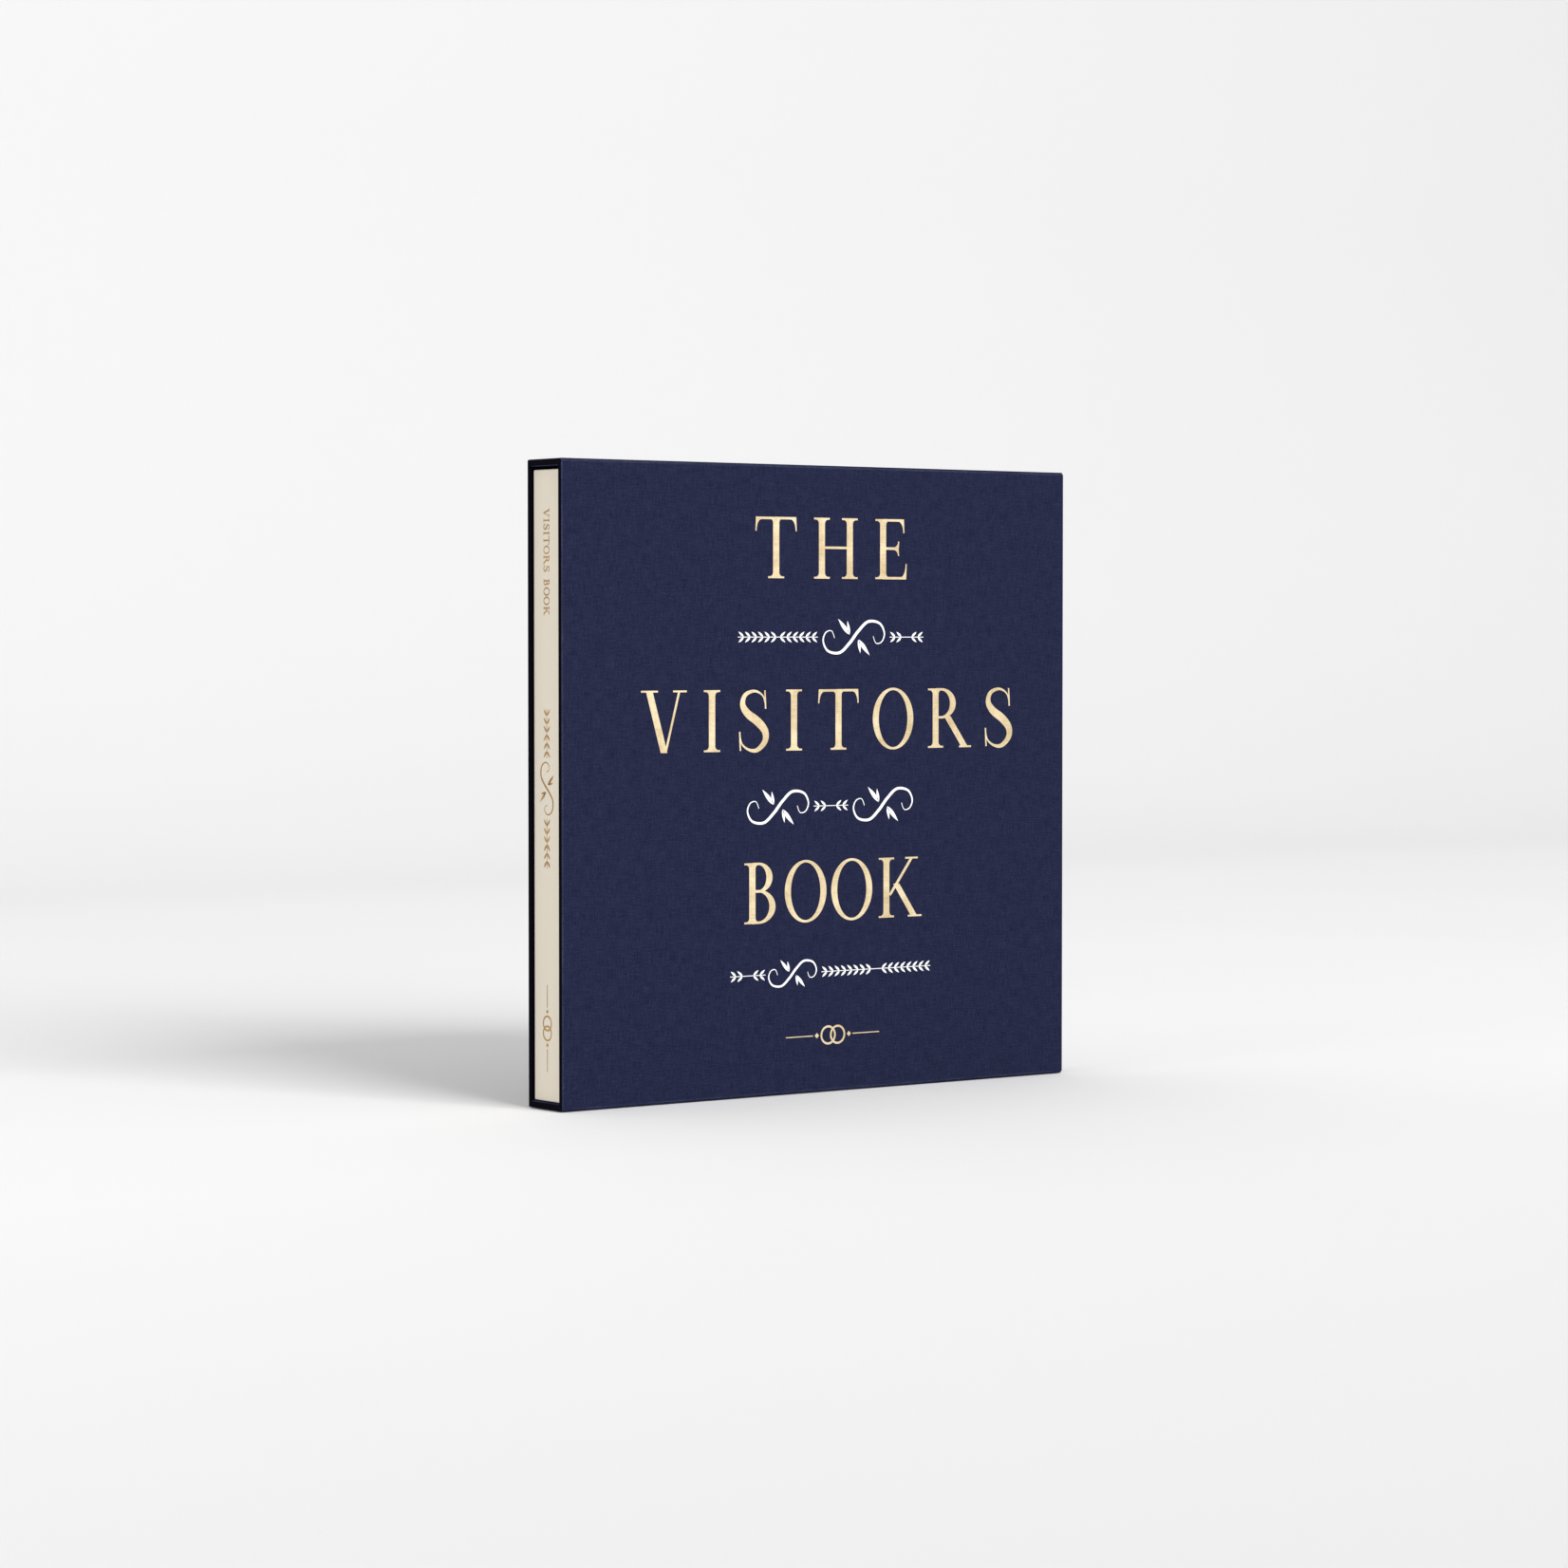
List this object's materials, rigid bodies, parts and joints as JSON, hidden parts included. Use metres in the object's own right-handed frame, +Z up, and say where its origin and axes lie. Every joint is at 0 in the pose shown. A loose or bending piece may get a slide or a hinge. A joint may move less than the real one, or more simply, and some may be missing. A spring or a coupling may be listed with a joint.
{
  "type": "guest book in a slipcase",
  "caption": "Square cloth-bound guest book with a flat spine, sewn signatures and headbands, standing in an open-sided cloth-covered slipcase it slides out of.",
  "frame": {"origin": "middle of the slipcase's underside", "axes": "+X across the width, from the open mouth towards the closed end; +Y through the thickness, from the front towards the back; +Z up"},
  "size_m": [0.262, 0.0244, 0.26],
  "materials": {
    "navy_cloth": "matte woven book cloth",
    "cream_cloth": "matte woven book cloth",
    "greyboard": "matte greyboard",
    "lining_paper": "matte lining paper",
    "page_paper": "uncoated writing paper",
    "end_paper": "matte endpaper",
    "liner_paper": "brown kraft paper",
    "gauze": "open cotton gauze",
    "headband_silk": "woven silk band",
    "linen_thread": "waxed linen thread"
  },
  "bodies": {
    "slipcase": {"case_back_board": "greyboard", "case_bottom_board": "greyboard", "case_bottom_cloth": "navy_cloth", "case_bottom_lining": "lining_paper", "case_end_board": "greyboard", "case_front_board": "greyboard", "case_side_lining": "lining_paper", "case_top_board": "greyboard", "case_top_cloth": "navy_cloth", "case_top_lining": "lining_paper", "case_wrap_cloth": "navy_cloth"},
    "book": {"back_cover_board": "greyboard", "back_endpaper": "end_paper", "cover_cloth": "cream_cloth", "front_cover_board": "greyboard", "front_endpaper": "end_paper", "head_headband": "headband_silk", "sewing_thread": "linen_thread", "signature_01": "page_paper", "signature_02": "page_paper", "signature_03": "page_paper", "signature_04": "page_paper", "signature_05": "page_paper", "signature_06": "page_paper", "signature_07": "page_paper", "signature_08": "page_paper", "signature_09": "page_paper", "signature_10": "page_paper", "spine_board": "greyboard", "spine_liner": "liner_paper", "spine_mull": "gauze", "tail_headband": "headband_silk"}
  },
  "joints": [
    {"name": "book_slide", "type": "slide", "parent": "slipcase", "child": "book", "axis": [-1, 0, 0], "range_m": [0, 0.27]}
  ]
}
